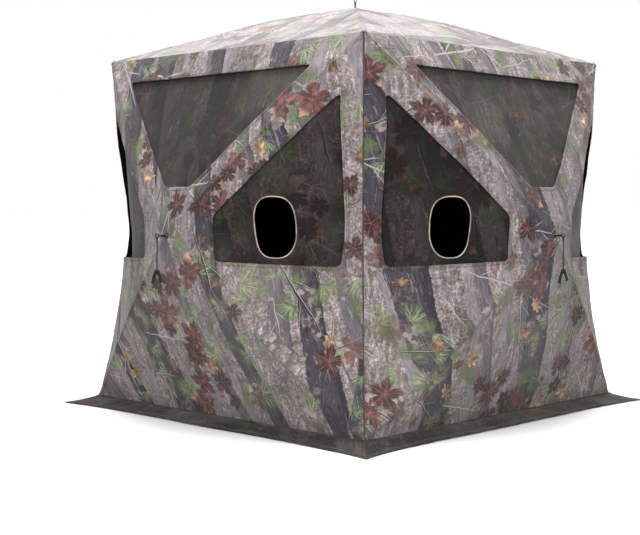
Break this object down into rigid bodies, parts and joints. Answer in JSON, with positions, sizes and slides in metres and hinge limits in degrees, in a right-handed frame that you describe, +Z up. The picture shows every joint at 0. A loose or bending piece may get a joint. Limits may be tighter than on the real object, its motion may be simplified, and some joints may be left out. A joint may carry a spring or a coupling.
{
  "type": "pop up ground blind",
  "caption": "Square pop-up ground blind: hub-and-pole frame, bulging camouflage fabric walls with window openings and face ports, peaked roof and ground skirt.",
  "frame": {"origin": "on the ground, under the middle of the square floor", "axes": "+Z up, -Y out of the front wall, +X out of the right wall"},
  "size_m": [2.6042, 2.6042, 2.0967],
  "materials": {
    "shell_fabric": "woven polyester with a woodland print, black inside",
    "window_fabric": "darker printed mesh",
    "webbing": "black webbing and cord",
    "hub_moulding": "moulded nylon",
    "fibreglass": "solid fibreglass rod",
    "zip_metal": "zinc-plated"
  },
  "bodies": {
    "frame": {"wall_front": "shell_fabric", "window_front_top": "window_fabric", "window_front_right": "window_fabric", "window_front_left": "window_fabric", "gear_pocket_front": "webbing", "wall_right": "shell_fabric", "window_right_top": "window_fabric", "window_right_right": "window_fabric", "window_right_left": "window_fabric", "gear_pocket_right": "webbing", "wall_back": "shell_fabric", "window_back_top": "window_fabric", "window_back_right": "window_fabric", "gear_pocket_back": "webbing", "wall_left": "shell_fabric", "window_left_top": "window_fabric", "window_left_right": "window_fabric", "window_left_left": "window_fabric", "gear_pocket_left": "webbing", "roof": "shell_fabric", "corner_pocket_front_right": "webbing", "foot_pocket_front_right": "webbing", "corner_pocket_back_right": "webbing", "foot_pocket_back_right": "webbing", "corner_pocket_back_left": "webbing", "foot_pocket_back_left": "webbing", "corner_pocket_front_left": "webbing", "foot_pocket_front_left": "webbing"},
    "hub_front": {"hub_front": "hub_moulding"},
    "pole_front_upper_right": {"pole_front_upper_right": "fibreglass"},
    "pole_front_upper_left": {"pole_front_upper_left": "fibreglass"},
    "pole_front_lower_left": {"pole_front_lower_left": "fibreglass"},
    "pole_front_lower_right": {"pole_front_lower_right": "fibreglass"},
    "pull_front": {"pull_front": "webbing"},
    "hub_right": {"hub_right": "hub_moulding"},
    "pole_right_upper_right": {"pole_right_upper_right": "fibreglass"},
    "pole_right_upper_left": {"pole_right_upper_left": "fibreglass"},
    "pole_right_lower_left": {"pole_right_lower_left": "fibreglass"},
    "pole_right_lower_right": {"pole_right_lower_right": "fibreglass"},
    "pull_right": {"pull_right": "webbing"},
    "hub_back": {"hub_back": "hub_moulding"},
    "pole_back_upper_right": {"pole_back_upper_right": "fibreglass"},
    "pole_back_upper_left": {"pole_back_upper_left": "fibreglass"},
    "pole_back_lower_left": {"pole_back_lower_left": "fibreglass"},
    "pole_back_lower_right": {"pole_back_lower_right": "fibreglass"},
    "pull_back": {"pull_back": "webbing"},
    "hub_left": {"hub_left": "hub_moulding"},
    "pole_left_upper_right": {"pole_left_upper_right": "fibreglass"},
    "pole_left_upper_left": {"pole_left_upper_left": "fibreglass"},
    "pole_left_lower_left": {"pole_left_lower_left": "fibreglass"},
    "pole_left_lower_right": {"pole_left_lower_right": "fibreglass"},
    "pull_left": {"pull_left": "webbing"},
    "hub_roof": {"hub_roof": "hub_moulding"},
    "pole_roof_upper_right": {"pole_roof_upper_right": "fibreglass"},
    "pole_roof_upper_left": {"pole_roof_upper_left": "fibreglass"},
    "pole_roof_lower_left": {"pole_roof_lower_left": "fibreglass"},
    "pole_roof_lower_right": {"pole_roof_lower_right": "fibreglass"},
    "door_frame": {"door_zip_tape": "webbing"},
    "door": {"door": "shell_fabric"},
    "door_slider": {"door_zip_slider": "zip_metal"}
  },
  "joints": [
    {"name": "hub_front_push", "type": "slide", "parent": "frame", "child": "hub_front", "axis": [0, 0.9996, -0.0267], "range_m": [0, 0.582], "deforming": ["pull_front"]},
    {"name": "pole_front_upper_right_fold", "type": "hinge", "parent": "hub_front", "child": "pole_front_upper_right", "pos_m": [0.02271, -1.20288, 0.90831], "axis": [0.7044, -0.019, -0.7095], "range_deg": [0, 28.45]},
    {"name": "pole_front_upper_left_fold", "type": "hinge", "parent": "hub_front", "child": "pole_front_upper_left", "pos_m": [-0.02271, -1.20288, 0.90831], "axis": [0.7044, 0.019, 0.7095], "range_deg": [0, 28.45]},
    {"name": "pole_front_lower_left_fold", "type": "hinge", "parent": "hub_front", "child": "pole_front_lower_left", "pos_m": [-0.02383, -1.20406, 0.86443], "axis": [-0.6676, 0.0199, 0.7443], "range_deg": [0, 28.37]},
    {"name": "pole_front_lower_right_fold", "type": "hinge", "parent": "hub_front", "child": "pole_front_lower_right", "pos_m": [0.02383, -1.20406, 0.86443], "axis": [-0.6676, -0.0199, -0.7443], "range_deg": [0, 28.37]},
    {"name": "pull_front_swing", "type": "hinge", "parent": "hub_front", "child": "pull_front", "pos_m": [0, -1.29145, 0.88813], "axis": [-1, 0, 0], "range_deg": [-10, 60]},
    {"name": "hub_right_push", "type": "slide", "parent": "frame", "child": "hub_right", "axis": [-0.9996, 0, -0.0267], "range_m": [0, 0.582], "deforming": ["pull_right"]},
    {"name": "pole_right_upper_right_fold", "type": "hinge", "parent": "hub_right", "child": "pole_right_upper_right", "pos_m": [1.20288, 0.02271, 0.90831], "axis": [0.019, 0.7044, -0.7095], "range_deg": [0, 28.45]},
    {"name": "pole_right_upper_left_fold", "type": "hinge", "parent": "hub_right", "child": "pole_right_upper_left", "pos_m": [1.20288, -0.02271, 0.90831], "axis": [-0.019, 0.7044, 0.7095], "range_deg": [0, 28.45]},
    {"name": "pole_right_lower_left_fold", "type": "hinge", "parent": "hub_right", "child": "pole_right_lower_left", "pos_m": [1.20406, -0.02383, 0.86443], "axis": [-0.0199, -0.6676, 0.7443], "range_deg": [0, 28.37]},
    {"name": "pole_right_lower_right_fold", "type": "hinge", "parent": "hub_right", "child": "pole_right_lower_right", "pos_m": [1.20406, 0.02383, 0.86443], "axis": [0.0199, -0.6676, -0.7443], "range_deg": [0, 28.37]},
    {"name": "pull_right_swing", "type": "hinge", "parent": "hub_right", "child": "pull_right", "pos_m": [1.29145, 0, 0.88813], "axis": [0, -1, 0], "range_deg": [-10, 60]},
    {"name": "hub_back_push", "type": "slide", "parent": "frame", "child": "hub_back", "axis": [0, -0.9996, -0.0267], "range_m": [0, 0.582], "deforming": ["pull_back"]},
    {"name": "pole_back_upper_right_fold", "type": "hinge", "parent": "hub_back", "child": "pole_back_upper_right", "pos_m": [-0.02271, 1.20288, 0.90831], "axis": [-0.7044, 0.019, -0.7095], "range_deg": [0, 28.45]},
    {"name": "pole_back_upper_left_fold", "type": "hinge", "parent": "hub_back", "child": "pole_back_upper_left", "pos_m": [0.02271, 1.20288, 0.90831], "axis": [-0.7044, -0.019, 0.7095], "range_deg": [0, 28.45]},
    {"name": "pole_back_lower_left_fold", "type": "hinge", "parent": "hub_back", "child": "pole_back_lower_left", "pos_m": [0.02383, 1.20406, 0.86443], "axis": [0.6676, -0.0199, 0.7443], "range_deg": [0, 28.37]},
    {"name": "pole_back_lower_right_fold", "type": "hinge", "parent": "hub_back", "child": "pole_back_lower_right", "pos_m": [-0.02383, 1.20406, 0.86443], "axis": [0.6676, 0.0199, -0.7443], "range_deg": [0, 28.37]},
    {"name": "pull_back_swing", "type": "hinge", "parent": "hub_back", "child": "pull_back", "pos_m": [0, 1.29145, 0.88813], "axis": [1, 0, 0], "range_deg": [-10, 60]},
    {"name": "hub_left_push", "type": "slide", "parent": "frame", "child": "hub_left", "axis": [0.9996, 0, -0.0267], "range_m": [0, 0.582], "deforming": ["pull_left"]},
    {"name": "pole_left_upper_right_fold", "type": "hinge", "parent": "hub_left", "child": "pole_left_upper_right", "pos_m": [-1.20288, -0.02271, 0.90831], "axis": [-0.019, -0.7044, -0.7095], "range_deg": [0, 28.45]},
    {"name": "pole_left_upper_left_fold", "type": "hinge", "parent": "hub_left", "child": "pole_left_upper_left", "pos_m": [-1.20288, 0.02271, 0.90831], "axis": [0.019, -0.7044, 0.7095], "range_deg": [0, 28.45]},
    {"name": "pole_left_lower_left_fold", "type": "hinge", "parent": "hub_left", "child": "pole_left_lower_left", "pos_m": [-1.20406, 0.02383, 0.86443], "axis": [0.0199, 0.6676, 0.7443], "range_deg": [0, 28.37]},
    {"name": "pole_left_lower_right_fold", "type": "hinge", "parent": "hub_left", "child": "pole_left_lower_right", "pos_m": [-1.20406, -0.02383, 0.86443], "axis": [-0.0199, 0.6676, -0.7443], "range_deg": [0, 28.37]},
    {"name": "pull_left_swing", "type": "hinge", "parent": "hub_left", "child": "pull_left", "pos_m": [-1.29145, 0, 0.88813], "axis": [0, 1, 0], "range_deg": [-10, 60]},
    {"name": "hub_roof_push", "type": "slide", "parent": "frame", "child": "hub_roof", "axis": [0, 0, -1], "range_m": [0, 0.476]},
    {"name": "pole_roof_upper_right_fold", "type": "hinge", "parent": "hub_roof", "child": "pole_roof_upper_right", "pos_m": [0.02263, 0.02263, 1.998], "axis": [0.7071, -0.7071, 0], "range_deg": [0, 23.33]},
    {"name": "pole_roof_upper_left_fold", "type": "hinge", "parent": "hub_roof", "child": "pole_roof_upper_left", "pos_m": [-0.02263, 0.02263, 1.998], "axis": [0.7071, 0.7071, 0], "range_deg": [0, 23.33]},
    {"name": "pole_roof_lower_left_fold", "type": "hinge", "parent": "hub_roof", "child": "pole_roof_lower_left", "pos_m": [-0.02263, -0.02263, 1.998], "axis": [-0.7071, 0.7071, 0], "range_deg": [0, 23.33]},
    {"name": "pole_roof_lower_right_fold", "type": "hinge", "parent": "hub_roof", "child": "pole_roof_lower_right", "pos_m": [0.02263, -0.02263, 1.998], "axis": [-0.7071, -0.7071, 0], "range_deg": [0, 23.33]},
    {"name": "door_frame_fold", "type": "hinge", "parent": "frame", "child": "door_frame", "pos_m": [0.81, 0.91259, 0.878], "axis": [0, -0.0267, 0.9996], "range_deg": [0, 40.01]},
    {"name": "door_swing", "type": "hinge", "parent": "door_frame", "child": "door", "pos_m": [0.757, 0.97257, 0.8796], "axis": [0, 0.0267, -0.9996], "range_deg": [0, 105]},
    {"name": "door_zip_slide", "type": "slide", "parent": "door_frame", "child": "door_slider", "axis": [0, -0.0267, 0.9996], "range_m": [0, 0.46]}
  ],
  "couplings": [
    {"joint": "pole_front_upper_right_fold", "follows": "hub_front_push", "rad_per_m": 0.85274},
    {"joint": "pole_front_upper_left_fold", "follows": "hub_front_push", "rad_per_m": 0.85274},
    {"joint": "pole_front_lower_left_fold", "follows": "hub_front_push", "rad_per_m": 0.85043},
    {"joint": "pole_front_lower_right_fold", "follows": "hub_front_push", "rad_per_m": 0.85043},
    {"joint": "pole_right_upper_right_fold", "follows": "hub_right_push", "rad_per_m": 0.85274},
    {"joint": "pole_right_upper_left_fold", "follows": "hub_right_push", "rad_per_m": 0.85274},
    {"joint": "pole_right_lower_left_fold", "follows": "hub_right_push", "rad_per_m": 0.85043},
    {"joint": "pole_right_lower_right_fold", "follows": "hub_right_push", "rad_per_m": 0.85043},
    {"joint": "pole_back_upper_right_fold", "follows": "hub_back_push", "rad_per_m": 0.85274},
    {"joint": "pole_back_upper_left_fold", "follows": "hub_back_push", "rad_per_m": 0.85274},
    {"joint": "pole_back_lower_left_fold", "follows": "hub_back_push", "rad_per_m": 0.85043},
    {"joint": "pole_back_lower_right_fold", "follows": "hub_back_push", "rad_per_m": 0.85043},
    {"joint": "pole_left_upper_right_fold", "follows": "hub_left_push", "rad_per_m": 0.85274},
    {"joint": "pole_left_upper_left_fold", "follows": "hub_left_push", "rad_per_m": 0.85274},
    {"joint": "pole_left_lower_left_fold", "follows": "hub_left_push", "rad_per_m": 0.85043},
    {"joint": "pole_left_lower_right_fold", "follows": "hub_left_push", "rad_per_m": 0.85043},
    {"joint": "pole_roof_upper_right_fold", "follows": "hub_roof_push", "rad_per_m": 0.85512},
    {"joint": "pole_roof_upper_left_fold", "follows": "hub_roof_push", "rad_per_m": 0.85512},
    {"joint": "pole_roof_lower_left_fold", "follows": "hub_roof_push", "rad_per_m": 0.85512},
    {"joint": "pole_roof_lower_right_fold", "follows": "hub_roof_push", "rad_per_m": 0.85512},
    {"joint": "door_frame_fold", "follows": "hub_back_push", "rad_per_m": 1.1995}
  ]
}
